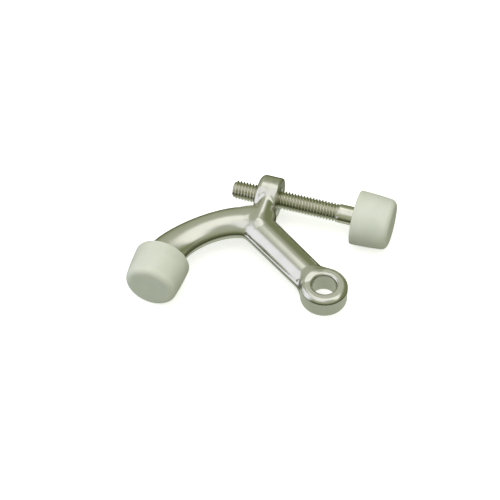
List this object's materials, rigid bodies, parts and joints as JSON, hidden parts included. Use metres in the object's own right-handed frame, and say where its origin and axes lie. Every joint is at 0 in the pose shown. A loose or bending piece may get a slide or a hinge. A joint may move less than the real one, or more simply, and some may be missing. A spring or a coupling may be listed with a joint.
{
  "type": "hinge pin door stop",
  "caption": "Cast hinge-pin door stop with an eye for the pin, a curved arm and an adjusting screw, each ending in a rubber bumper.",
  "frame": {"origin": "centre of the hinge-pin bore, half way up the eye", "axes": "+Z along the hinge-pin bore; +X along the adjusting screw towards its bumper; +Y from the bore towards the screw"},
  "size_m": [0.0721, 0.0555, 0.0173],
  "materials": {
    "satin_nickel": "satin nickel plate on die-cast zinc",
    "plated_steel": "bright nickel-plated steel",
    "pale_rubber": "matt off-white rubber"
  },
  "bodies": {
    "body": {"casting": "satin_nickel", "arm_bumper": "pale_rubber"},
    "screw_tip": {"screw_bumper": "pale_rubber"},
    "screw": {"adjusting_screw": "plated_steel"}
  },
  "joints": [
    {"name": "screw_travel", "type": "slide", "parent": "body", "child": "screw_tip", "axis": [1, 0, 0], "range_m": [-0.019, 0.008]},
    {"name": "screw_spin", "type": "hinge", "parent": "screw_tip", "child": "screw", "pos_m": [0, 0.0322, 0], "axis": [1, 0, 0], "range_deg": [-6850, 2890]}
  ],
  "couplings": [
    {"joint": "screw_spin", "follows": "screw_travel", "rad_per_m": 6283.2}
  ]
}
